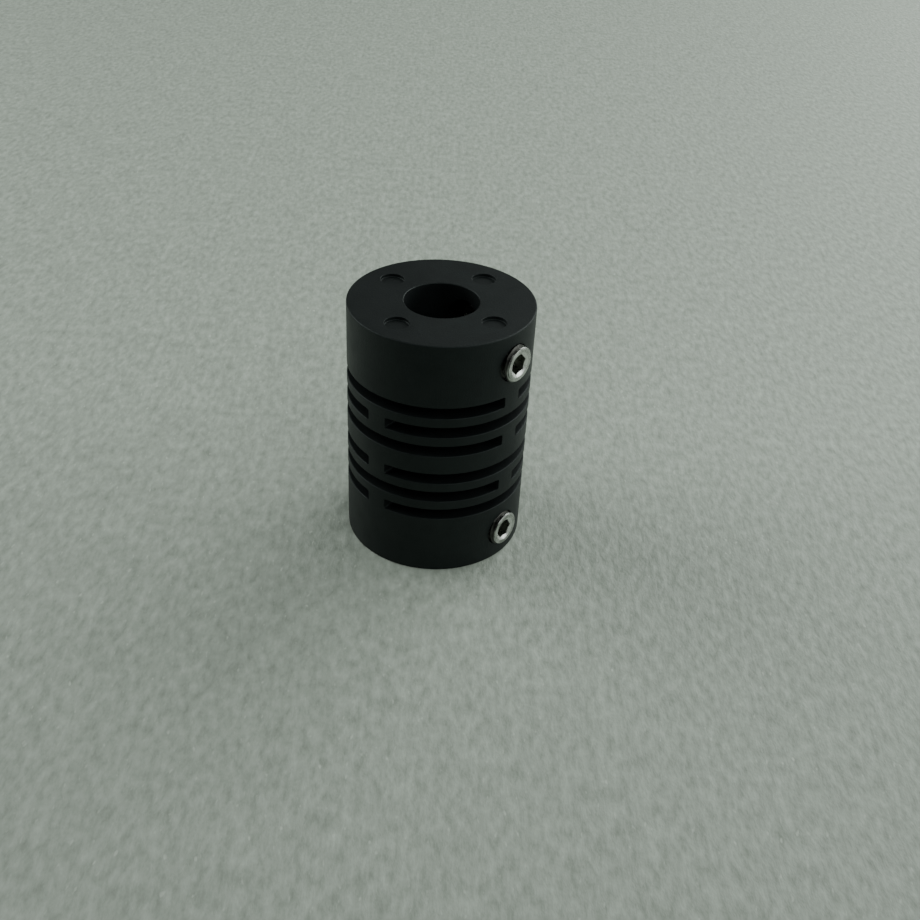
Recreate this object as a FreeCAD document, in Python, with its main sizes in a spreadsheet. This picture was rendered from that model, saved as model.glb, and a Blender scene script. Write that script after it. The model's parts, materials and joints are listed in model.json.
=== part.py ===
import FreeCAD, Part
import math
import os
import Sketcher

# One-piece beam coupling for two shafts in line: a moulded plastic cylinder whose middle is cut by
# six slot levels, with four set screws that clamp the shafts.
#
# Frame: +Z runs along the shaft axis, the origin is the centre of the lower end face, and the part
# stands on that face. Every slot level leaves two webs, on opposite sides. Odd levels, counted from
# the bottom, have their webs on the Y axis, and even levels on the X axis.

# Driving dimensions, in millimetres and degrees
SIZES = {
    "outer_diameter": 15.0,
    "bore_diameter": 6.0,  # for a 6 mm shaft in each hub
    "bore_clearance": 0.02,  # on the diameter
    "relief_diameter": 6.6,  # the bore is wider between the hubs, clear of the shafts
    "hub_length": 5.37,
    "slot_height": 0.93,
    "ring_thickness": 0.82,
    "middle_ring_thickness": 1.70,
    "web_width": 1.70,
    "rim_radius": 0.11,  # rounding of the outer edge of each end face
    "bore_chamfer": 0.05,
    "mark_diameter": 2.0,  # ejector pin marks in the upper end face
    "mark_depth": 0.27,
    "mark_circle": 10.5,
    "gate_diameter": 1.2,  # gate mark in the lower end face
    "gate_depth": 0.15,
    "screw_diameter": 3.0,  # M3
    "screw_length": 4.0,
    "screw_clearance": 0.04,  # on the diameter
    "screw_end_chamfer": 0.12,
    "screw_from_end": 2.65,  # from an end face to a screw's axis
    "lower_right_stand_out": 0.35,  # how far each screw's outer end stands out of its hub
    "lower_back_stand_out": 0.20,
    "upper_right_stand_out": 0.45,
    "upper_back_stand_out": 0.25,
    "hole_chamfer": 0.12,
    "socket_flats": 1.5,
    "socket_depth": 2.0,
    "cup_diameter": 1.4,
    "cup_depth": 0.40,
}

SLOT_LEVELS = 6
MIDDLE_RING = 3
QUARTER = 90.0

# Each set screw's hub, the side it is on, and that side's turn about Z from +X
SCREWS = (
    ("lower", "right", 0.0),
    ("lower", "back", QUARTER),
    ("upper", "right", 0.0),
    ("upper", "back", QUARTER),
)

X_AXIS = FreeCAD.Vector(1, 0, 0)
Y_AXIS = FreeCAD.Vector(0, 1, 0)
Z_AXIS = FreeCAD.Vector(0, 0, 1)
ORIGIN = FreeCAD.Vector(0, 0, 0)
PARALLEL = 0.999  # cosine above which two directions count as the same

doc = FreeCAD.newDocument("BeamCoupling")
sub_parts = []


def size_sheet():
    """The spreadsheet that holds every driving dimension."""
    sheet = doc.addObject("Spreadsheet::Sheet", "Sizes")
    for row, (alias, value) in enumerate(SIZES.items(), start=1):
        sheet.set(f"A{row}", alias)
        sheet.set(f"B{row}", str(value))
        sheet.setAlias(f"B{row}", alias)
    doc.recompute()


def new_body(label):
    """An empty body for one sub-part. Its Label names the sub-part's file."""
    body = doc.addObject("PartDesign::Body", "Body_" + label)
    body.Label = label
    sub_parts.append(body)
    return body


def origin_feature(body, role):
    """One of a body's own origin planes or axes."""
    return next(f for f in body.Origin.OriginFeatures if f.Role == role)


def new_sketch(body, name, plane="XY_Plane", offset=None):
    """A sketch on one of the body's origin planes, shifted along the plane's normal by an expression."""
    sketch = body.newObject("Sketcher::SketchObject", name)
    sketch.AttachmentSupport = [(origin_feature(body, plane), "")]
    sketch.MapMode = "FlatFace"
    if offset:
        sketch.setExpression("AttachmentOffset.Base.z", offset)
    return sketch


def constrain(sketch, kind, *arguments, formula=None):
    """Adds a constraint, and binds its size to the sheet where a formula is given."""
    number = sketch.addConstraint(Sketcher.Constraint(kind, *arguments))
    if formula:
        sketch.setExpression(f"Constraints[{number}]", formula)


def add_circle(sketch, diameter, x=None, y=None):
    """A circle whose diameter, and centre where it has one, are formulas. A plain one is at the origin."""
    circle = sketch.addGeometry(Part.Circle(FreeCAD.Vector(1, 1, 0), Z_AXIS, 1.0))
    constrain(sketch, "Diameter", circle, 1.0, formula=diameter)
    for kind, place in (("DistanceX", x), ("DistanceY", y)):
        if place:
            constrain(sketch, kind, -1, 1, circle, 3, 1.0, formula=place)
    if x and not y:
        constrain(sketch, "PointOnObject", circle, 3, -1)
    elif y and not x:
        constrain(sketch, "PointOnObject", circle, 3, -2)
    elif not x and not y:
        constrain(sketch, "Coincident", circle, 3, -1, 1)


def pad(body, sketch, length, name):
    """Adds the sketch's area to the body, up to a height."""
    feature = body.newObject("PartDesign::Pad", name)
    feature.Profile = sketch
    feature.setExpression("Length", length)
    doc.recompute()
    return feature


def pocket(body, sketch, length, name, reverse=False):
    """Cuts the sketch's area out of the body, and stops if nothing was cut."""
    before = body.Shape.Volume
    feature = body.newObject("PartDesign::Pocket", name)
    feature.Profile = sketch
    feature.Reversed = reverse
    feature.setExpression("Length", length)
    doc.recompute()
    if body.Shape.Volume >= before:
        raise RuntimeError(f"{name} cut nothing out of {body.Label}")
    return feature


def edge_names(shape, wanted):
    """The names of the edges that a test picks."""
    return [f"Edge{i}" for i, edge in enumerate(shape.Edges, start=1) if wanted(edge)]


def is_ring_edge(edge, radius, height):
    """True for a circle of that radius about the Z axis, at that height."""
    curve = edge.Curve
    return (
        isinstance(curve, Part.Circle)
        and abs(curve.Radius - radius) < 1e-4
        and abs(curve.Center.z - height) < 1e-4
        and math.hypot(curve.Center.x, curve.Center.y) < 1e-4
    )


def dress(body, kind, base, names, size_property, formula):
    """A fillet or chamfer on named edges of the feature before it."""
    feature = body.newObject("PartDesign::" + kind, kind)
    feature.Base = (base, names)
    feature.setExpression(size_property, formula)
    doc.recompute()
    return feature


def annulus_pad(body, inner, length):
    """The tube that a hub or ring starts from."""
    sketch = new_sketch(body, "Section")
    add_circle(sketch, "Sizes.outer_diameter")
    add_circle(sketch, inner)
    return pad(body, sketch, length, "Tube")


def screw_holes(body, height):
    """Two radial holes for set screws, towards +X and towards +Y. Each is cut from the axis outwards."""
    for name, plane, reverse in (("HoleRight", "YZ_Plane", True), ("HoleBack", "XZ_Plane", False)):
        sketch = new_sketch(body, name + "Sketch", plane)
        add_circle(sketch, "Sizes.screw_diameter + Sizes.screw_clearance", y=height)
        pocket(body, sketch, "Sizes.outer_diameter", name, reverse)


def chamfer_hole_mouths(body):
    """A small chamfer where each screw hole meets the outside."""
    hole_radius = (SIZES["screw_diameter"] + SIZES["screw_clearance"]) / 2

    def at_mouth(edge):
        middle = edge.valueAt((edge.FirstParameter + edge.LastParameter) / 2)
        on_outside = abs(math.hypot(middle.x, middle.y) - SIZES["outer_diameter"] / 2) < 1e-3
        straight = isinstance(edge.Curve, (Part.Line, Part.Circle))
        return on_outside and not straight and edge.Length < 2.2 * math.pi * hole_radius

    base = body.Tip
    names = edge_names(body.Shape, at_mouth)
    dress(body, "Chamfer", base, names, "Size", "Sizes.hole_chamfer")


def make_hub(label, end_height, mark):
    """A hub at rest on Z = 0: the bored end piece, with two screw holes and an end face at end_height."""
    body = new_body(label)
    is_upper = end_height > 0
    tube = annulus_pad(body, "Sizes.bore_diameter + Sizes.bore_clearance", "Sizes.hub_length")
    outer = SIZES["outer_diameter"] / 2
    bore = (SIZES["bore_diameter"] + SIZES["bore_clearance"]) / 2
    rim = edge_names(body.Shape, lambda e: is_ring_edge(e, outer, end_height))
    rounded = dress(body, "Fillet", tube, rim, "Radius", "Sizes.rim_radius")
    mouth = edge_names(body.Shape, lambda e: is_ring_edge(e, bore, end_height))
    dress(body, "Chamfer", rounded, mouth, "Size", "Sizes.bore_chamfer")
    from_end = "Sizes.screw_from_end"
    screw_holes(body, f"Sizes.hub_length - {from_end}" if is_upper else from_end)
    chamfer_hole_mouths(body)
    mark(body)
    return body


def ejector_marks(body):
    """Four shallow round marks in the upper end face, in line with the webs."""
    sketch = new_sketch(body, "MarkSketch", offset="Sizes.hub_length")
    add_circle(sketch, "Sizes.mark_diameter", x="Sizes.mark_circle / 2")
    mark = pocket(body, sketch, "Sizes.mark_depth", "Mark")
    pattern = body.newObject("PartDesign::PolarPattern", "Marks")
    pattern.Originals = [mark]
    pattern.Axis = (origin_feature(body, "Z_Axis"), [""])
    pattern.Angle = 4 * QUARTER
    pattern.Occurrences = 4
    body.Tip = pattern


def gate_mark(body):
    """One shallow round gate mark in the lower end face, between two webs."""
    sketch = new_sketch(body, "GateSketch")
    place = "Sizes.mark_circle / 2 * cos(45)"
    add_circle(sketch, "Sizes.gate_diameter", x=place, y=place)
    pocket(body, sketch, "Sizes.gate_depth", "Gate", reverse=True)


def make_ring(number):
    """A thin ring between two slot levels. The middle one is thicker."""
    body = new_body(f"ring_{number}")
    annulus_pad(body, "Sizes.relief_diameter", thickness_formula(number))
    body.setExpression("Placement.Base.z", ring_foot(number))


def make_web(level, side, turn):
    """A web: the short wall, with parallel sides, that bridges a slot level between bore and outside."""
    body = new_body(f"web_{level}_{side}")
    half_width = SIZES["web_width"] / 2
    outer = SIZES["outer_diameter"] / 2
    inner = SIZES["relief_diameter"] / 2
    sketch = new_sketch(body, "Section")
    lean_out = math.asin(half_width / outer)
    lean_in = math.asin(half_width / inner)
    outer_arc = sketch.addGeometry(
        Part.ArcOfCircle(Part.Circle(ORIGIN, Z_AXIS, outer), -lean_out, lean_out)
    )
    inner_arc = sketch.addGeometry(
        Part.ArcOfCircle(Part.Circle(ORIGIN, Z_AXIS, inner), -lean_in, lean_in)
    )
    inner_x = inner * math.cos(lean_in)
    outer_x = outer * math.cos(lean_out)
    low = sketch.addGeometry(
        Part.LineSegment(
            FreeCAD.Vector(inner_x, -half_width, 0), FreeCAD.Vector(outer_x, -half_width, 0)
        )
    )
    high = sketch.addGeometry(
        Part.LineSegment(
            FreeCAD.Vector(inner_x, half_width, 0), FreeCAD.Vector(outer_x, half_width, 0)
        )
    )
    for arc in (outer_arc, inner_arc):
        constrain(sketch, "Coincident", arc, 3, -1, 1)
    for line, arc_end in ((low, 1), (high, 2)):
        constrain(sketch, "Coincident", line, 1, inner_arc, arc_end)
        constrain(sketch, "Coincident", line, 2, outer_arc, arc_end)
        constrain(sketch, "Horizontal", line)
    constrain(sketch, "Radius", outer_arc, outer, formula="Sizes.outer_diameter / 2")
    constrain(sketch, "Radius", inner_arc, inner, formula="Sizes.relief_diameter / 2")
    half = "Sizes.web_width / 2"
    constrain(sketch, "DistanceY", low, 2, -1, 1, half_width, formula=half)
    constrain(sketch, "DistanceY", -1, 1, high, 2, half_width, formula=half)
    pad(body, sketch, "Sizes.slot_height", "Wall")
    body.Placement = FreeCAD.Placement(ORIGIN, FreeCAD.Rotation(Z_AXIS, turn))
    body.setExpression("Placement.Base.z", slot_foot(level))


def thickness_formula(number):
    """A ring's thickness."""
    return "Sizes.middle_ring_thickness" if number == MIDDLE_RING else "Sizes.ring_thickness"


def slot_foot(level):
    """Height of the bottom of a slot level, counted from 1 at the bottom."""
    rings_below = "".join(f" + {thickness_formula(n)}" for n in range(1, level))
    return f"Sizes.hub_length + {level - 1} * Sizes.slot_height{rings_below}"


def ring_foot(number):
    """Height of the bottom face of a ring: the top of the slot level under it."""
    return f"{slot_foot(number)} + Sizes.slot_height"


def make_screw(hub, side, turn):
    """An M3 socket set screw with a cup point. Its own Z axis runs from the cup to the socket."""
    body = new_body(f"set_screw_{hub}_{side}")
    section = new_sketch(body, "Section", "XZ_Plane")
    radius = SIZES["screw_diameter"] / 2
    length = SIZES["screw_length"]
    cup = SIZES["cup_diameter"] / 2
    chamfer = SIZES["screw_end_chamfer"]
    corners = [
        (0, SIZES["cup_depth"]),
        (cup, 0),
        (radius, radius - cup),
        (radius, length - chamfer),
        (radius - chamfer, length),
        (0, length),
    ]
    lines = [
        section.addGeometry(Part.LineSegment(FreeCAD.Vector(*a, 0), FreeCAD.Vector(*b, 0)))
        for a, b in zip(corners, corners[1:] + corners[:1])
    ]
    for line, following in zip(lines, lines[1:] + lines[:1]):
        constrain(section, "Coincident", line, 2, following, 1)
    cup_cone, point, thread, end_chamfer, end, axis = lines
    constrain(section, "PointOnObject", axis, 1, -2)
    constrain(section, "PointOnObject", axis, 2, -2)
    constrain(section, "PointOnObject", point, 1, -1)
    constrain(section, "Vertical", thread)
    constrain(section, "Horizontal", end)
    half = "Sizes.screw_diameter / 2"
    rise = f"{half} - Sizes.cup_diameter / 2"
    sized = (
        ("DistanceX", point, 1, cup, "Sizes.cup_diameter / 2"),
        ("DistanceY", axis, 2, SIZES["cup_depth"], "Sizes.cup_depth"),
        ("DistanceX", thread, 1, radius, half),
        ("DistanceY", thread, 1, radius - cup, rise),
        ("DistanceY", end, 1, length, "Sizes.screw_length"),
        ("DistanceX", end, 1, radius - chamfer, f"{half} - Sizes.screw_end_chamfer"),
        ("DistanceY", thread, 2, length - chamfer, "Sizes.screw_length - Sizes.screw_end_chamfer"),
    )
    for kind, line, end_of_line, value, formula in sized:
        constrain(section, kind, -1, 1, line, end_of_line, value, formula=formula)
    turned = body.newObject("PartDesign::Revolution", "Turned")
    turned.Profile = section
    turned.ReferenceAxis = (section, ["V_Axis"])
    turned.Angle = 4 * QUARTER
    doc.recompute()

    socket = new_sketch(body, "SocketSketch", offset="Sizes.screw_length")
    add_hexagon(socket, "Sizes.socket_flats")
    pocket(body, socket, "Sizes.socket_depth", "Socket")
    place_screw(body, hub, side, turn)


def add_hexagon(sketch, flats):
    """A hexagon about the origin, sized across its flats."""
    corner_radius = SIZES["socket_flats"] / math.sqrt(3)
    corners = [
        FreeCAD.Vector(
            corner_radius * math.cos(k * math.pi / 3), corner_radius * math.sin(k * math.pi / 3), 0
        )
        for k in range(6)
    ]
    sides = [
        sketch.addGeometry(Part.LineSegment(a, b)) for a, b in zip(corners, corners[1:] + corners[:1])
    ]
    circle = sketch.addGeometry(Part.Circle(ORIGIN, Z_AXIS, corner_radius), True)
    constrain(sketch, "Coincident", circle, 3, -1, 1)
    constrain(sketch, "Diameter", circle, 2 * corner_radius, formula=f"{flats} * 2 / sqrt(3)")
    for side, following in zip(sides, sides[1:] + sides[:1]):
        constrain(sketch, "Coincident", side, 2, following, 1)
        constrain(sketch, "PointOnObject", side, 2, circle)
    for side in sides[1:]:
        constrain(sketch, "Equal", sides[0], side)
    constrain(sketch, "PointOnObject", sides[0], 1, -1)


def place_screw(body, hub, side, turn):
    """Lays a screw along +X, cup inwards, and turns it about Z to its side of the hub."""
    upright = FreeCAD.Rotation(Y_AXIS, QUARTER)
    body.Placement = FreeCAD.Placement(ORIGIN, FreeCAD.Rotation(Z_AXIS, turn) * upright)
    cup_end = f"(Sizes.outer_diameter / 2 + Sizes.{hub}_{side}_stand_out - Sizes.screw_length)"
    body.setExpression("Placement.Base.x", f"{cup_end} * cos({turn})")
    body.setExpression("Placement.Base.y", f"{cup_end} * sin({turn})")
    top = f"{slot_foot(SLOT_LEVELS)} + Sizes.slot_height + Sizes.hub_length"
    height = "Sizes.screw_from_end" if hub == "lower" else f"{top} - Sizes.screw_from_end"
    body.setExpression("Placement.Base.z", height)


def check_document():
    """Stops if any object failed or any sub-part has no sound solid."""
    for item in doc.Objects:
        if "Invalid" in item.State or "Error" in item.State:
            raise RuntimeError(f"{item.Label} failed: {item.State}")
    for body in sub_parts:
        if body.Shape.isNull() or not body.Shape.isValid() or not body.Shape.Solids:
            raise RuntimeError(f"{body.Label} has no valid solid")


def write_parts():
    """One STEP file for each sub-part, named by its Label."""
    os.makedirs("parts", exist_ok=True)
    for body in sub_parts:
        body.Shape.exportStep(f"parts/{body.Label}.step")
        box = body.Shape.BoundBox
        print(
            f"{body.Label}: {len(body.Shape.Solids)} solid, {body.Shape.Volume:.2f} mm3, "
            f"x {box.XMin:.2f}..{box.XMax:.2f}, y {box.YMin:.2f}..{box.YMax:.2f}, "
            f"z {box.ZMin:.2f}..{box.ZMax:.2f}"
        )


def build():
    """Makes every sub-part, checks the document and writes the files."""
    size_sheet()
    make_hub("lower_hub", 0.0, gate_mark)
    for level in range(1, SLOT_LEVELS + 1):
        sides = (("back", 1), ("front", 3)) if level % 2 else (("right", 0), ("left", 2))
        for side, quarters in sides:
            make_web(level, side, quarters * QUARTER)
    for number in range(1, SLOT_LEVELS):
        make_ring(number)
    upper = make_hub("upper_hub", SIZES["hub_length"], ejector_marks)
    upper.setExpression("Placement.Base.z", ring_foot(SLOT_LEVELS))
    for hub, side, turn in SCREWS:
        make_screw(hub, side, turn)
    doc.recompute()
    check_document()
    write_parts()


build()
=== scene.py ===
import json
import math

import bmesh
import bpy
from mathutils import Matrix, Vector


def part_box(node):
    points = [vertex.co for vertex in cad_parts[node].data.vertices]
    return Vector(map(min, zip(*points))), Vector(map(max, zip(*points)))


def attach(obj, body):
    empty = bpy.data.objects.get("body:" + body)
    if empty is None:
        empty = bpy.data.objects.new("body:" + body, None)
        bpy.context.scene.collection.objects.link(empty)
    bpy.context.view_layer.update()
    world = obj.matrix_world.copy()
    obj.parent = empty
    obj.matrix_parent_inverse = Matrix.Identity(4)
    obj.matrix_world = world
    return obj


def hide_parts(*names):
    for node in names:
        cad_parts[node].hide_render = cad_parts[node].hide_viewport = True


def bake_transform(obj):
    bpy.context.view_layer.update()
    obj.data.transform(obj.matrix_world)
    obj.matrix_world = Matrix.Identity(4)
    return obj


# Beam coupling: a black moulded plastic cylinder with six slot levels, and four steel set screws.
# Shapes are worked out in millimetres in the CAD frame, and made into meshes in metres. The whole
# object is made finer here than in the CAD: rounded edges, web fillets, threads and sockets.

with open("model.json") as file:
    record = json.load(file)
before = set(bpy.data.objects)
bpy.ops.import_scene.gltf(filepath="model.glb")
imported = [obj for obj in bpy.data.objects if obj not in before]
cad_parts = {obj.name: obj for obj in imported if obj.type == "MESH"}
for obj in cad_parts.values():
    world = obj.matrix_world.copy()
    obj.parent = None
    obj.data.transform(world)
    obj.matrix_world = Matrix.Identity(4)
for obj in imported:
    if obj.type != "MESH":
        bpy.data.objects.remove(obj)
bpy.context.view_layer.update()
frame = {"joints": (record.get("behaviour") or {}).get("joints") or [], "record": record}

MM = 0.001
TURN = 2 * math.pi
COLUMNS = 288  # vertices round each turned surface
CELL = TURN / COLUMNS


# ---------------------------------------------------------------- sizes, read from the CAD frame


def box_mm(node):
    """A CAD node's lowest and highest corners, in millimetres."""
    low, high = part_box(node)
    return low / MM, high / MM


def bore_radius():
    """The radius of the shaft bores."""
    mounts = {m["name"]: m for m in frame["record"]["mounts"]}
    return mounts["lower_shaft_bore"]["dims"]["r_mm"]


RADIUS = box_mm("ring_1")[1].x
BORE = bore_radius()
LENGTH = box_mm("upper_hub")[1].z
HUB = box_mm("lower_hub")[1].z
WEB_LOW, WEB_HIGH = box_mm("web_1_back")
WEB_HALF = WEB_HIGH.x
RELIEF = math.hypot(WEB_LOW.y, WEB_HALF)

RIM = 0.11  # rounding of the outer edge of the end faces
SLOT_EDGE = 0.07  # rounding of the outer edges of the slots
BORE_CHAMFER = 0.05
WEB_FLARE = 0.14  # fillet where a web meets the ring above or below
MARK_CIRCLE = 5.25  # radius of the circle that the ejector and gate marks are centred on
MARK_RADIUS = 1.0
MARK_DEPTH = 0.27
GATE_RADIUS = 0.6
GATE_DEPTH = 0.15

HOLE_RADIUS = 1.52
HOLE_ROUND = 0.12  # rounding of a screw hole's mouth
HOLE_THREAD = 0.05  # depth of the groove in a screw hole
HOLE_OUTER_END = 7.15  # where the groove starts and ends, from the shaft axis
HOLE_INNER_END = 3.12

SCREW_RADIUS = 1.49
SCREW_FROM_END = 2.65  # from an end face to a screw's axis
SCREW_THREAD = 0.29  # depth of the thread
SCREW_CHAMFER = 0.12
PITCH = 0.5  # M3 coarse thread
COUNTERSINK_RADIUS = 1.03
COUNTERSINK_SLOPE = 0.58
SOCKET_FLAT = 0.75  # half the 1.5 mm across the flats
SOCKET_DEPTHS = (0.35, 0.7, 1.1, 1.6)  # rows of the socket's walls, down from the end
SOCKET_TIP = 1.98  # depth of the drill point below the socket

WALL_ROWS = (0.36, 4.94, 28)  # lowest, highest and number of steps of a hub's wall, round a screw
BORE_ROWS = (4.55, 0.75, 16)  # the same for its bore, from the slot face to the end face
FACE_WINDOW = 1.374  # half the width of the part of an end face round a mark

CAMERA_TURN = 39.4  # degrees about Z from the front
CAMERA_PAN = 1.508  # degrees right of the shaft axis
CAMERA_TILT = 34.961  # degrees down
CAMERA_ROLL = 3.132
CAMERA_DISTANCE = 0.07979  # metres from the shaft axis
CAMERA_HEIGHT = 0.06188
CAMERA_LENS = 44.22  # millimetres, for a sensor 36 mm wide

# Each soft light's turn in degrees from the right of the camera's view towards its back, distance
# and height in metres, size in metres and power in watts
LIGHTS = {
    "softbox_right": (0.0, 0.40, 0.14, 0.30, 0.65),
    "softbox_back_right": (45.0, 0.42, 0.25, 0.36, 1.35),
    "softbox_left": (163.0, 0.42, 0.22, 0.36, 1.15),
    "softbox_front": (270.0, 0.35, 0.45, 0.30, 0.20),
    "softbox_front_right": (308.0, 0.35, 0.30, 0.30, 0.40),
    "softbox_top": (0.0, 0.0, 0.50, 0.40, 0.20),
}

WEB_TURNS = {"right": 0.0, "back": 0.25, "left": 0.5, "front": 0.75}  # in whole turns from +X
LEVELS = {n: (("back", "front") if n % 2 else ("right", "left")) for n in range(1, 7)}


# ---------------------------------------------------------------- mesh helpers


def polar(radius, angle, z):
    """A point from its radius, angle and height."""
    return Vector((radius * math.cos(angle), radius * math.sin(angle), z))


def smooth_step(t):
    """0 below 0, 1 above 1, and a smooth rise between."""
    t = min(1.0, max(0.0, t))
    return t * t * (3 - 2 * t)


def spread(a, b, steps):
    """Evenly spaced numbers from a to b, both included."""
    return [a + (b - a) * i / steps for i in range(steps + 1)]


def bridge(bm, loop, following):
    """Quads between two closed loops with the same number of vertices."""
    count = len(loop)
    for k in range(count):
        after = (k + 1) % count
        bm.faces.new((loop[k], loop[after], following[after], following[k]))


def add_loop(bm, points):
    """New vertices for a loop."""
    return [bm.verts.new(p) for p in points]


def run(bm, loop, rows):
    """Carries a loop on through rows of points, and returns the last one."""
    for points in rows:
        following = add_loop(bm, points)
        bridge(bm, loop, following)
        loop = following
    return loop


def close_with_fan(bm, loop, centre):
    """Closes a loop with triangles that meet at a point."""
    tip = bm.verts.new(centre)
    count = len(loop)
    for k in range(count):
        bm.faces.new((loop[k], loop[(k + 1) % count], tip))


def stitch(bm, loop, other, angle_of):
    """Triangles between two loops with different numbers of vertices, matched by angle."""
    first = sorted(loop, key=angle_of)
    second = sorted(other, key=angle_of)
    i = j = 0
    while i < len(first) or j < len(second):
        a = first[i % len(first)]
        b = second[j % len(second)]
        next_a = angle_of(first[i + 1]) if i + 1 < len(first) else TURN + angle_of(first[0])
        next_b = angle_of(second[j + 1]) if j + 1 < len(second) else TURN + angle_of(second[0])
        if i < len(first) and (j >= len(second) or next_a <= next_b):
            i += 1
            bm.faces.new((a, first[i % len(first)], b))
        else:
            j += 1
            bm.faces.new((a, second[j % len(second)], b))


def make_object(name, bm, material, sharp=35.0):
    """A smooth-shaded object from a bmesh in millimetres, with its sharp edges kept."""
    bmesh.ops.remove_doubles(bm, verts=bm.verts, dist=1e-5)
    bmesh.ops.recalc_face_normals(bm, faces=bm.faces)
    bmesh.ops.scale(bm, vec=(MM, MM, MM), verts=bm.verts)
    mesh = bpy.data.meshes.new(name)
    bm.to_mesh(mesh)
    bm.free()
    mesh.shade_smooth()
    mesh.set_sharp_from_angle(angle=math.radians(sharp))
    mesh.materials.append(material)
    piece = bpy.data.objects.new(name, mesh)
    bpy.context.scene.collection.objects.link(piece)
    return piece


# ---------------------------------------------------------------- turned surfaces with windows


class Window:
    """A rectangle of a turned surface, left out of its grid and filled round a hole instead.

    to_flat and from_flat go from a point to flat coordinates about the hole's centre and back.
    edge gives the hole's edge, in flat coordinates, at an angle.
    """

    def __init__(self, rows, centre_column, half_columns, to_flat, from_flat, edge):
        self.first_row, self.last_row = rows
        self.first_column = centre_column - half_columns
        self.last_column = centre_column + half_columns
        self.to_flat = to_flat
        self.from_flat = from_flat
        self.edge = edge

    def holds_vertex(self, row, column):
        """Whether a vertex of the grid is inside the window, and so isn't made."""
        steps = (column - self.first_column) % COLUMNS
        in_columns = 0 < steps < self.last_column - self.first_column
        return in_columns and self.first_row < row < self.last_row

    def holds_cell(self, row, column):
        """Whether a face of the grid is inside the window, and so isn't made."""
        steps = (column - self.first_column) % COLUMNS
        in_columns = steps < self.last_column - self.first_column
        return in_columns and self.first_row <= row < self.last_row

    def border(self, grid):
        """The grid's vertices round the window, in order."""
        rows = range(self.first_row, self.last_row)
        columns = range(self.first_column, self.last_column)
        there = [grid[self.first_row][c % COLUMNS] for c in columns]
        up = [grid[r][self.last_column % COLUMNS] for r in rows]
        back = [grid[self.last_row][(c + 1) % COLUMNS] for c in reversed(columns)]
        down = [grid[r + 1][self.first_column % COLUMNS] for r in reversed(rows)]
        return there + up + back + down


def turned(bm, profile, windows=()):
    """A surface turned about Z from a closed profile. Each row gives (radius, z) at an angle."""
    grid = []
    for row, at in enumerate(profile):
        line = []
        for column in range(COLUMNS):
            if any(w.holds_vertex(row, column) for w in windows):
                line.append(None)
                continue
            radius, z = at(column * CELL)
            line.append(bm.verts.new(polar(radius, column * CELL, z)))
        grid.append(line)
    for row in range(len(profile)):
        below, above = grid[row], grid[(row + 1) % len(profile)]
        for column in range(COLUMNS):
            if any(w.holds_cell(row, column) for w in windows):
                continue
            after = (column + 1) % COLUMNS
            bm.faces.new((below[column], below[after], above[after], above[column]))
    return grid


def fill_window(bm, grid, window, steps=6):
    """Fills a window from its border in to its hole. Returns the hole's edge and its angles."""
    border = window.border(grid)
    flats = [window.to_flat(v.co) for v in border]
    angles = [math.atan2(v, u) for u, v in flats]
    loop = border
    for step in range(steps - 1, -1, -1):
        share = (step / steps) ** 1.25
        points = []
        for (u, v), angle in zip(flats, angles):
            edge_u, edge_v = window.edge(angle)
            at_u, at_v = edge_u + (u - edge_u) * share, edge_v + (v - edge_v) * share
            points.append(window.from_flat(at_u, at_v))
        following = add_loop(bm, points)
        bridge(bm, loop, following)
        loop = following
    return loop, angles


def wall_window(rows, quarter, half_columns, radius, height, hole):
    """A window in a cylindrical wall, round a radial hole."""
    middle = quarter * TURN / 4

    def to_flat(p):
        angle = (math.atan2(p.y, p.x) - middle + math.pi) % TURN - math.pi
        return radius * angle, p.z - height

    def from_flat(u, v):
        return polar(radius, middle + u / radius, height + v)

    def edge(angle):
        return radius * math.asin(hole * math.cos(angle) / radius), hole * math.sin(angle)

    return Window(rows, quarter * COLUMNS // 4, half_columns, to_flat, from_flat, edge)


def face_window(rows, eighth, half_columns, height, hole):
    """A window in a flat end face, round a circle at MARK_CIRCLE from the axis."""
    angle = eighth * TURN / 8
    centre = polar(MARK_CIRCLE, angle, height)
    outward = polar(1, angle, 0)
    along = Vector((-outward.y, outward.x, 0))

    def to_flat(p):
        return (p - centre).dot(along), (p - centre).dot(outward)

    def from_flat(u, v):
        return centre + along * u + outward * v

    def edge(around):
        return hole * math.cos(around), hole * math.sin(around)

    return Window(rows, eighth * COLUMNS // 8, half_columns, to_flat, from_flat, edge)


# ---------------------------------------------------------------- the moulding


def fixed(radius, z):
    """A profile row with the same radius and height all round."""
    return lambda angle: (radius, z)


def slot_edge(z, into, lift, quarters):
    """A row of a slot's rounded edge, which dies out where a web is flush with the wall."""

    def at(angle):
        size = 1.0
        for quarter in quarters:
            away = abs((angle - quarter * TURN / 4 + math.pi) % TURN - math.pi) * RADIUS
            size = min(size, 0.02 + 0.98 * smooth_step((away - WEB_HALF - WEB_FLARE) / 0.25))
        return RADIUS - SLOT_EDGE * into * size, z + SLOT_EDGE * lift * size

    return at


def rounded_slot_edge(z, upwards, quarters):
    """Rows from the wall into a slot's face. The slot is above if upwards is 1, below if -1."""
    rows = [fixed(RADIUS, z - upwards * (SLOT_EDGE + 0.03))]
    for step in range(5):
        a = step * math.pi / 8
        rows.append(slot_edge(z, 1 - math.cos(a), -upwards * (1 - math.sin(a)), quarters))
    return rows


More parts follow.
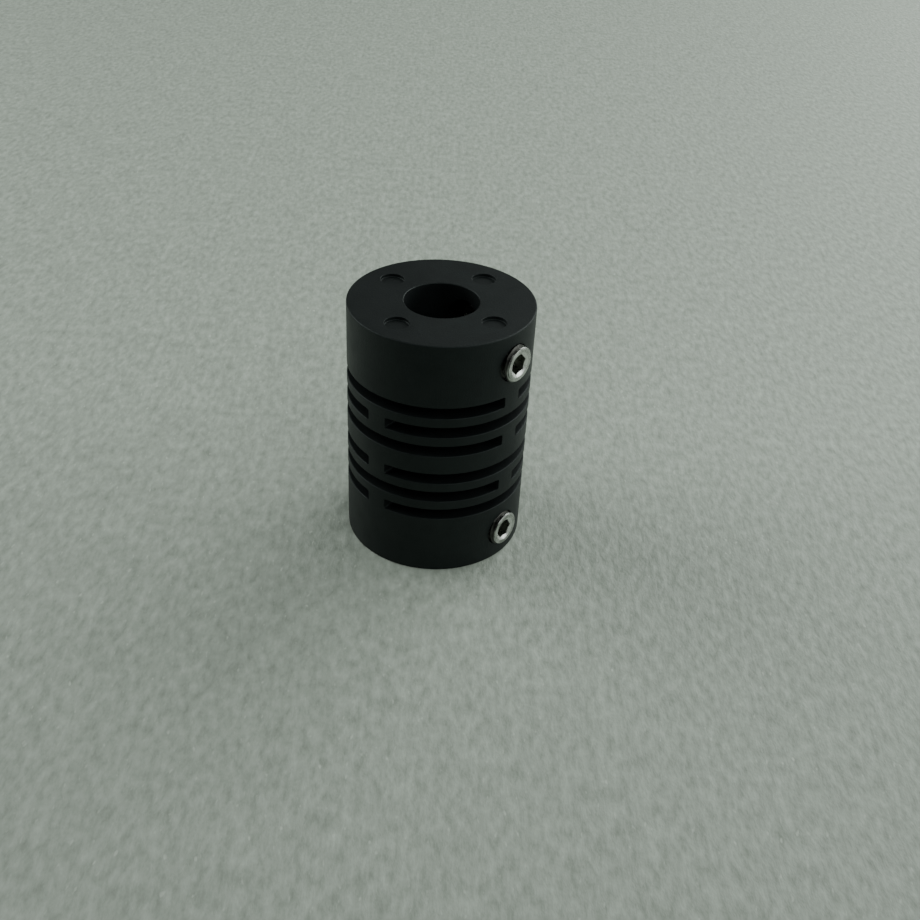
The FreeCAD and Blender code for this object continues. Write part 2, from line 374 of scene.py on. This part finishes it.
def screw_hole(bm, outer_loop, outer_angles, inner_loop, quarter, height):
    """A threaded radial hole from its mouth in the wall to the shaft bore."""
    middle = quarter * TURN / 4
    outward = polar(1, middle, 0)
    along = Vector((-outward.y, outward.x, 0))

    def place(x, y, z):
        return outward * x + along * y + Vector((0, 0, height + z))

    def saddle(radius, hole, depth):
        return [
            place(
                math.sqrt(radius**2 - (hole * math.cos(a)) ** 2) - depth,
                hole * math.cos(a),
                hole * math.sin(a),
            )
            for a in outer_angles
        ]

    rows = []
    for step in range(1, 5):
        turn = step * math.pi / 8
        hole = HOLE_RADIUS + HOLE_ROUND * (1 - math.sin(turn))
        rows.append(saddle(RADIUS, hole, HOLE_ROUND * (1 - math.cos(turn))))
    for x in spread(HOLE_OUTER_END, HOLE_INNER_END, 64):
        row = []
        fade = smooth_step((x - HOLE_INNER_END) / 0.3) * smooth_step((HOLE_OUTER_END - x) / 0.3)
        for a in outer_angles:
            phase = (x / PITCH - a / TURN) % 1.0
            groove = HOLE_THREAD * max(0.0, 1 - abs(phase - 0.5) / 0.35)
            hole = HOLE_RADIUS + groove * fade
            row.append(place(x, hole * math.cos(a), hole * math.sin(a)))
        rows.append(row)
    last = run(bm, outer_loop, rows)

    def around(vertex):
        return math.atan2(vertex.co.z - height, vertex.co.dot(along)) % TURN

    stitch(bm, last, inner_loop, around)


def sunk_mark(bm, loop, angles, eighth, height, hole, depth):
    """A shallow round recess in an end face, with a softly rounded floor edge."""
    centre = polar(MARK_CIRCLE, eighth * TURN / 8, height)
    outward = polar(1, eighth * TURN / 8, 0)
    along = Vector((-outward.y, outward.x, 0))

    def circle(radius, down):
        return [
            centre
            + along * (radius * math.cos(a))
            + outward * (radius * math.sin(a))
            + Vector((0, 0, down))
            for a in angles
        ]

    rows = [circle(hole - 0.02, 0.02), circle(hole - 0.03, depth - 0.04)]
    rows += [circle(radius, depth) for radius in (hole - 0.07, hole * 0.75, hole * 0.4)]
    last = run(bm, loop, rows)
    close_with_fan(bm, last, centre + Vector((0, 0, depth)))


def hub(name, top, material):
    """A hub, laid out from its end face at z = 0 up to its slot face, and turned over if top."""
    bm = bmesh.new()
    web_quarters = (0, 2) if top else (1, 3)
    profile = [fixed(BORE + BORE_CHAMFER, 0), fixed(BORE + BORE_CHAMFER + 0.1, 0)]
    face_first = len(profile)
    face_rows = spread(MARK_CIRCLE - FACE_WINDOW, MARK_CIRCLE + FACE_WINDOW, 20)
    profile += [fixed(r, 0) for r in face_rows]
    face_last = len(profile) - 1
    profile.append(fixed(RADIUS - RIM - 0.05, 0))
    for step in range(7):
        a = step * math.pi / 12
        profile.append(fixed(RADIUS - RIM * (1 - math.sin(a)), RIM * (1 - math.cos(a))))
    wall_first = len(profile)
    profile += [fixed(RADIUS, z) for z in spread(*WALL_ROWS)]
    wall_last = len(profile) - 1
    profile += rounded_slot_edge(HUB, 1, web_quarters)
    profile += [fixed(r, HUB) for r in (RADIUS - 0.2, 5.0, BORE + 0.06)]
    profile += [fixed(BORE + 0.018, HUB - 0.018), fixed(BORE, HUB - 0.06)]
    bore_first = len(profile)
    profile += [fixed(BORE, z) for z in spread(*BORE_ROWS)]
    bore_last = len(profile) - 1
    profile += [fixed(BORE, BORE_CHAMFER + 0.05), fixed(BORE, BORE_CHAMFER)]

    holes = []
    for quarter in (0, 1):
        mouth = HOLE_RADIUS + HOLE_ROUND
        outer = wall_window((wall_first, wall_last), quarter, 14, RADIUS, SCREW_FROM_END, mouth)
        inner = wall_window((bore_first, bore_last), quarter, 32, BORE, SCREW_FROM_END, HOLE_RADIUS)
        holes.append((quarter, outer, inner))
    marks = [0, 2, 4, 6] if top else [1]
    mark_radius, mark_depth = (MARK_RADIUS, MARK_DEPTH) if top else (GATE_RADIUS, GATE_DEPTH)
    recesses = [(e, face_window((face_first, face_last), e, 12, 0.0, mark_radius)) for e in marks]

    windows = [w for _, outer, inner in holes for w in (outer, inner)] + [w for _, w in recesses]
    grid = turned(bm, profile, windows)
    for quarter, outer, inner in holes:
        mouth_loop, mouth_angles = fill_window(bm, grid, outer)
        inner_loop, _ = fill_window(bm, grid, inner, steps=3)
        screw_hole(bm, mouth_loop, mouth_angles, inner_loop, quarter, SCREW_FROM_END)
    for eighth, window in recesses:
        loop, angles = fill_window(bm, grid, window)
        sunk_mark(bm, loop, angles, eighth, 0.0, mark_radius, mark_depth)
    if top:
        for vertex in bm.verts:
            vertex.co.z = LENGTH - vertex.co.z
    return make_object(name, bm, material)


def ring(name, node, level, material):
    """A ring between the slots of a level and of the next one."""
    bm = bmesh.new()
    low, high = (corner.z for corner in box_mm(node))
    webs_below = (1, 3) if level % 2 else (0, 2)
    webs_above = (0, 2) if level % 2 else (1, 3)
    profile = [fixed(r, low) for r in (RELIEF + 0.04, 4.4, 5.8, RADIUS - 0.2)]
    profile += list(reversed(rounded_slot_edge(low, -1, webs_below)))
    profile += [fixed(RADIUS, (low + high) / 2)]
    profile += rounded_slot_edge(high, 1, webs_above)
    profile += [fixed(r, high) for r in (RADIUS - 0.2, 5.8, 4.4, RELIEF + 0.04)]
    profile += [fixed(RELIEF, z) for z in (high - 0.04, (low + high) / 2, low + 0.04)]
    turned(bm, profile)
    return make_object(name, bm, material)


def half_web(name, node, upper, turn, material):
    """Half of a web, from its middle plane to the ring or hub that it grows out of."""
    bm = bmesh.new()
    low, high = (corner.z for corner in box_mm(node))
    root, middle = (high, (low + high) / 2) if upper else (low, (low + high) / 2)
    rise = (middle - root) / abs(middle - root)
    depths = [WEB_FLARE * s for s in (0.0, 0.06, 0.17, 0.35, 0.6, 1.0)]
    depths += spread(WEB_FLARE, abs(middle - root), 5)[1:]
    rows = []
    for depth in depths:
        flare = 0.0
        if depth < WEB_FLARE:
            flare = WEB_FLARE - math.sqrt(WEB_FLARE**2 - (WEB_FLARE - depth) ** 2)
        width = WEB_HALF + flare
        z = root + rise * depth
        outer = math.asin(width / RADIUS)
        inner = math.asin(width / RELIEF)
        points = [polar(RADIUS, a, z) for a in spread(-outer, outer, 12)]
        outer_x, inner_x = RADIUS * math.cos(outer), RELIEF * math.cos(inner)
        points += [Vector((x, width, z)) for x in spread(outer_x, inner_x, 8)[1:-1]]
        points += [polar(RELIEF, a, z) for a in spread(inner, -inner, 10)]
        points += [Vector((x, -width, z)) for x in spread(inner_x, outer_x, 8)[1:-1]]
        rows.append(points)
    first = add_loop(bm, rows[0])
    last = run(bm, first, rows[1:])
    bm.faces.new(first)
    bm.faces.new(last)
    spin = Matrix.Rotation(turn * TURN, 3, "Z")
    bmesh.ops.rotate(bm, verts=bm.verts, cent=(0, 0, 0), matrix=spin)
    return make_object(name, bm, material)


# ---------------------------------------------------------------- set screws

SCREW_COLUMNS = 96


def hexagon_radius(angle):
    """The radius of the socket's hexagon, with a corner at angle 0."""
    side = TURN / 6
    return SOCKET_FLAT / math.cos((angle % side) - side / 2)


def screw_body_radius(z, angle, length):
    """The radius of the threaded barrel: 60 degree thread, cut off by the chamfers of both ends."""
    phase = (z / PITCH - angle / TURN) % 1.0
    climb = min(1.0, max(0.0, (abs(phase - 0.5) - 0.07) / 0.36))
    thread = SCREW_RADIUS - SCREW_THREAD * (1 - climb)
    return min(thread, 0.72 + z, SCREW_RADIUS - SCREW_CHAMFER + (length - z))


def set_screw(name, node, axis, spin, material):
    """An M3 socket set screw: cup point, thread, chamfered end and hexagonal socket."""
    bm = bmesh.new()
    low, high = box_mm(node)
    outward = Vector(axis)
    length = (high - low).dot(outward) - 0.002
    angles = [k * TURN / SCREW_COLUMNS for k in range(SCREW_COLUMNS)]

    def circle(radius, z):
        return [polar(radius, a, z) for a in angles]

    centre = bm.verts.new((0, 0, 0.40))
    first = add_loop(bm, circle(0.12, 0.34))
    for k in range(SCREW_COLUMNS):
        bm.faces.new((first[(k + 1) % SCREW_COLUMNS], first[k], centre))
    rows = [circle(0.40, 0.19), circle(0.66, 0.03), circle(0.68, 0.0), circle(0.71, 0.0)]
    for z in spread(0.02, length - 0.02, 8 * 12):
        rows.append([polar(screw_body_radius(z, a, length), a, z) for a in angles])
    end = SCREW_RADIUS - SCREW_CHAMFER - 0.02
    rows += [circle(end, length - 0.008), circle(end - 0.03, length)]
    rows.append(circle(COUNTERSINK_RADIUS + 0.02, length))
    rows.append(circle(COUNTERSINK_RADIUS - 0.02, length - 0.012))
    for share in (0.5, 1.0):
        row = []
        for a in angles:
            r = COUNTERSINK_RADIUS + (hexagon_radius(a) - COUNTERSINK_RADIUS) * share
            row.append(polar(r, a, length - (COUNTERSINK_RADIUS - r) * COUNTERSINK_SLOPE))
        rows.append(row)
    for depth in SOCKET_DEPTHS:
        rows.append([polar(hexagon_radius(a) - 0.004, a, length - depth) for a in angles])
    rows += [circle(0.72, length - 1.62), circle(0.35, length - 1.80)]
    last = run(bm, first, rows)
    close_with_fan(bm, last, Vector((0, 0, length - SOCKET_TIP)))
    piece = make_object(name, bm, material, sharp=28.0)
    side = Vector((0, 0, 1)).cross(outward)
    laid_down = Matrix((Vector((0, 0, 1)), -side, outward)).transposed().to_4x4()
    foot = (low + high) / 2 - outward * (length / 2)
    turned_by = Matrix.Rotation(math.radians(spin), 4, "Z")
    piece.matrix_world = Matrix.Translation(foot * MM) @ laid_down @ turned_by
    return piece


# ---------------------------------------------------------------- materials


class Nodes:
    """A material's node tree, with short ways to add and link nodes."""

    def __init__(self, name):
        self.material = bpy.data.materials.new(name)
        self.material.use_nodes = True
        self.tree = self.material.node_tree
        self.shader = self.tree.nodes["Principled BSDF"]

    def add(self, kind, values=None, **inputs):
        node = self.tree.nodes.new(kind)
        for key, value in (values or {}).items():
            setattr(node, key, value)
        for key, value in inputs.items():
            self.put(value, node, key.replace("_", " "))
        return node

    def put(self, value, node, socket):
        """Sets or links an input, given by its name, or by n and its number."""
        by_number = socket[0] == "n" and socket[1:].isdigit()
        target = node.inputs[int(socket[1:]) if by_number else socket]
        if isinstance(value, bpy.types.NodeSocket):
            self.tree.links.new(value, target)
        else:
            target.default_value = value

    def noise(self, where, scale, detail=3.0, roughness=0.55):
        node = self.add("ShaderNodeTexNoise", Scale=scale, Detail=detail, Roughness=roughness)
        self.tree.links.new(where, node.inputs["Vector"])
        return node.outputs["Fac"]

    def spread(self, value, low, high, to_low, to_high):
        """Maps a number from one range to another, held inside it."""
        node = self.add("ShaderNodeMapRange", {"clamp": True})
        for socket, number in (
            ("Value", value),
            ("From Min", low),
            ("From Max", high),
            ("To Min", to_low),
            ("To Max", to_high),
        ):
            self.put(number, node, socket)
        return node.outputs["Result"]

    def mix(self, share, one, other):
        node = self.add("ShaderNodeMix", {"data_type": "RGBA"})
        self.put(share, node, "Factor")
        self.put(one, node, "n6")
        self.put(other, node, "n7")
        return node.outputs[2]

    def bump(self, height, distance, strength=1.0, normal=None):
        node = self.add("ShaderNodeBump", Height=height, Distance=distance, Strength=strength)
        if normal is not None:
            self.put(normal, node, "Normal")
        return node.outputs["Normal"]

    def object_place(self):
        return self.add("ShaderNodeTexCoord").outputs["Object"]


def plastic_material():
    """Black glass-filled plastic from a textured mould: satin, mottled, faintly streaked."""
    n = Nodes("black_moulded_plastic")
    place = n.object_place()
    mottle = n.noise(place, 900.0, 4.0)
    cloud = n.noise(place, 260.0, 2.0)
    grain = n.noise(place, 9000.0, 4.0, 0.6)
    stretch = n.add("ShaderNodeMapping")
    n.put(place, stretch, "Vector")
    n.put((1.0, 1.0, 0.28), stretch, "Scale")
    fibre = n.noise(stretch.outputs["Vector"], 5200.0, 2.0, 0.5)
    tone = n.spread(mottle, 0.3, 0.7, 0.0, 1.0)
    colour = n.mix(tone, (0.0030, 0.0040, 0.0042, 1), (0.0052, 0.0068, 0.0070, 1))
    pale = n.spread(fibre, 0.66, 0.80, 0.0, 0.5)
    colour = n.mix(pale, colour, (0.011, 0.014, 0.0145, 1))
    n.put(colour, n.shader, "Base Color")
    n.put(n.spread(cloud, 0.3, 0.7, 0.48, 0.60), n.shader, "Roughness")
    n.shader.inputs["Specular IOR Level"].default_value = 0.31
    n.shader.inputs["Specular Tint"].default_value = (0.84, 1.0, 0.97, 1)
    n.shader.inputs["IOR"].default_value = 1.5
    rough = n.bump(grain, 0.000012)
    n.put(n.bump(fibre, 0.000006, normal=rough), n.shader, "Normal")
    return n.material


def steel_material():
    """Plated steel: a bright end with a brighter countersink, and a dull thread and socket."""
    n = Nodes("plated_screw_steel")
    place = n.object_place()
    cloud = n.noise(place, 1800.0, 3.0)
    scratch_map = n.add("ShaderNodeMapping")
    n.put(place, scratch_map, "Vector")
    n.put((1.0, 0.12, 1.0), scratch_map, "Scale")
    scratch = n.noise(scratch_map.outputs["Vector"], 14000.0, 2.0)
    wave = n.add("ShaderNodeTexWave", {"wave_type": "RINGS", "rings_direction": "Z"})
    n.put(place, wave, "Vector")
    n.put(4200.0, wave, "Scale")
    n.put(1.5, wave, "Distortion")
    parts = n.add("ShaderNodeSeparateXYZ")
    n.put(place, parts, "Vector")
    flat = n.add("ShaderNodeCombineXYZ")
    n.put(parts.outputs["X"], flat, "X")
    n.put(parts.outputs["Y"], flat, "Y")
    length = n.add("ShaderNodeVectorMath", {"operation": "LENGTH"})
    n.put(flat.outputs["Vector"], length, "n0")
    radius = length.outputs["Value"]
    tone = n.spread(cloud, 0.3, 0.7, 0.0, 1.0)
    face = n.mix(tone, (0.36, 0.37, 0.35, 1), (0.66, 0.67, 0.64, 1))
    chamfer = n.mix(tone, (0.20, 0.21, 0.20, 1), (0.40, 0.41, 0.39, 1))
    end = n.mix(n.spread(radius, 0.00101, 0.00104, 0.0, 1.0), (0.84, 0.85, 0.82, 1), face)
    end = n.mix(n.spread(radius, 0.00136, 0.00140, 0.0, 1.0), end, chamfer)
    thread = n.mix(tone, (0.030, 0.030, 0.028, 1), (0.075, 0.075, 0.070, 1))
    rest = n.mix(n.spread(radius, 0.00088, 0.00092, 0.0, 1.0), (0.30, 0.32, 0.28, 1), thread)
    near_end = n.spread(parts.outputs["Z"], 0.00377, 0.00380, 0.0, 1.0)
    n.put(n.mix(near_end, rest, end), n.shader, "Base Color")
    n.shader.inputs["Metallic"].default_value = 1.0
    n.put(n.spread(cloud, 0.3, 0.7, 0.20, 0.38), n.shader, "Roughness")
    marks = n.bump(wave.outputs["Fac"], 0.000004)
    n.put(n.bump(scratch, 0.000004, normal=marks), n.shader, "Normal")
    return n.material


def floor_material():
    """A plain pale sheet with a faintly fibrous, mottled surface, and painted shade that darkens it
    towards the front.
    """
    n = Nodes("pale_floor")
    place = n.object_place()
    grain_map = n.add("ShaderNodeMapping", {"vector_type": "TEXTURE"})
    n.put(place, grain_map, "Vector")
    n.put((0.0, 0.0, math.radians(CAMERA_TURN)), grain_map, "Rotation")
    n.put((1.0, 2.2, 1.0), grain_map, "Scale")
    along = grain_map.outputs["Vector"]
    fibre = n.noise(along, 1500.0, 3.0, 0.6)
    broad = n.noise(along, 420.0, 2.0)
    tone = n.spread(fibre, 0.25, 0.75, 0.0, 1.0)
    colour = n.mix(tone, (0.27, 0.31, 0.26, 1), (0.49, 0.55, 0.48, 1))
    speck = n.spread(n.noise(along, 2600.0, 1.0), 0.68, 0.78, 0.0, 0.6)
    colour = n.mix(speck, colour, (0.60, 0.66, 0.58, 1))
    # Painted shade: the colour is scaled from 0.84 at the front, on the camera's side, up to 1.08
    # behind the object, and varied a little by a faint broad mottle.
    away = n.add("ShaderNodeSeparateXYZ")
    n.put(along, away, "Vector")
    shade = n.add("ShaderNodeVectorMath", {"operation": "SCALE"})
    n.put(colour, shade, "n0")
    painted_shade_and_mottle = n.add("ShaderNodeMath", {"operation": "MULTIPLY"})
    n.put(n.spread(away.outputs["Y"], -0.020, 0.008, 0.84, 1.08), painted_shade_and_mottle, "n0")
    n.put(n.spread(broad, 0.3, 0.7, 0.96, 1.04), painted_shade_and_mottle, "n1")
    n.put(painted_shade_and_mottle.outputs["Value"], shade, "Scale")
    n.put(shade.outputs["Vector"], n.shader, "Base Color")
    n.put(n.spread(broad, 0.3, 0.7, 0.55, 0.7), n.shader, "Roughness")
    n.put(n.bump(fibre, 0.0002, 0.6), n.shader, "Normal")
    return n.material


# ---------------------------------------------------------------- the object

PLASTIC = plastic_material()
STEEL = steel_material()


def stands_for(node):
    """Hides a CAD node, which the piece shows instead of."""
    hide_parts(node)


def level_bodies(level):
    """The bodies below, at and above a slot level."""
    below = "lower_hub" if level == 1 else f"ring_{level - 1}"
    above = "upper_hub" if level == 6 else f"ring_{level}"
    return below, f"web_pair_{level}", above


def build_moulding():
    """The hubs, the rings, and the webs between them."""
    for name, node, top in (("hub_lower", "lower_hub", False), ("hub_upper", "upper_hub", True)):
        piece = hub(name, top, PLASTIC)
        stands_for(node)
        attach(piece, node)
    for level in range(1, 6):
        node = f"ring_{level}"
        piece = ring(f"moulded_ring_{level}", node, level, PLASTIC)
        stands_for(node)
        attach(piece, node)
    for level, sides in LEVELS.items():
        below, pair, above = level_bodies(level)
        for side in sides:
            node = f"web_{level}_{side}"
            low, high = (corner.z * MM for corner in box_mm(node))
            middle = (low + high) / 2
            for part, start, end, ends in (
                ("foot", low, middle, (below, pair)),
                ("head", middle, high, (pair, above)),
            ):
                piece = half_web(f"{node}_{part}", node, part == "head", WEB_TURNS[side], PLASTIC)
                stands_for(node)
                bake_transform(piece)


def build_screws():
    """The four set screws, each turned to a different angle as tightening leaves them."""
    spins = {
        "set_screw_lower_right": 30.0,
        "set_screw_lower_back": -13.0,
        "set_screw_upper_right": -17.0,
        "set_screw_upper_back": 21.0,
    }
    axes = {j["child"]: j["axis"] for j in frame["joints"]}
    for node, spin in spins.items():
        piece = set_screw(node.replace("set_screw", "steel_screw"), node, axes[node], spin, STEEL)
        stands_for(node)
        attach(piece, node)


# ---------------------------------------------------------------- floor, light and camera


def build_floor():
    """The plain sheet that the coupling stands on."""
    bm = bmesh.new()
    bmesh.ops.create_grid(bm, x_segments=4, y_segments=4, size=1500.0)
    floor = make_object("floor", bm, floor_material())


def area_light(name, place, aim, size, power):
    """A soft square light."""
    data = bpy.data.lights.new(name, "AREA")
    data.shape = "SQUARE"
    data.size = size
    data.energy = power
    data.color = (0.95, 1.0, 0.97)
    light = bpy.data.objects.new(name, data)
    light.location = place
    light.rotation_mode = "QUATERNION"
    light.rotation_quaternion = (aim - place).to_track_quat("-Z", "Y")
    bpy.context.scene.collection.objects.link(light)


def build_lights():
    """A plain pale surround, and a ring of broad soft lights."""
    world = bpy.data.worlds.new("studio")
    world.use_nodes = True
    background = world.node_tree.nodes["Background"]
    background.inputs["Color"].default_value = (0.80, 0.84, 0.82, 1)
    background.inputs["Strength"].default_value = 0.13
    bpy.context.scene.world = world
    aim = Vector((0, 0, 0.01))
    for name, (turn, distance, height, size, power) in LIGHTS.items():
        angle = math.radians(CAMERA_TURN + turn)
        place = Vector((distance * math.cos(angle), distance * math.sin(angle), height))
        area_light(name, place, aim, size, power)


def build_camera():
    """The camera, set up in front of the object and then turned about Z to its place."""
    pan, tilt, roll = (math.radians(a) for a in (CAMERA_PAN, CAMERA_TILT, CAMERA_ROLL))
    level = Vector((math.sin(pan), math.cos(pan), 0)) * math.cos(tilt)
    ahead = level - Vector((0, 0, math.sin(tilt)))
    right = Vector((math.cos(pan), -math.sin(pan), 0))
    up = right.cross(ahead)
    image_right = right * math.cos(roll) + up * math.sin(roll)
    image_up = up * math.cos(roll) - right * math.sin(roll)
    axes = Matrix((image_right, image_up, -ahead)).transposed().to_4x4()
    data = bpy.data.cameras.new("camera")
    data.sensor_width = 36.0
    data.lens = CAMERA_LENS
    data.clip_start = 0.001
    data.clip_end = 10.0
    camera = bpy.data.objects.new("camera", data)
    place = Matrix.Translation((0, -CAMERA_DISTANCE, CAMERA_HEIGHT))
    camera.matrix_world = Matrix.Rotation(math.radians(CAMERA_TURN), 4, "Z") @ place @ axes
    bpy.context.scene.collection.objects.link(camera)
    bpy.context.scene.camera = camera


build_moulding()
build_screws()
build_floor()
build_lights()
build_camera()
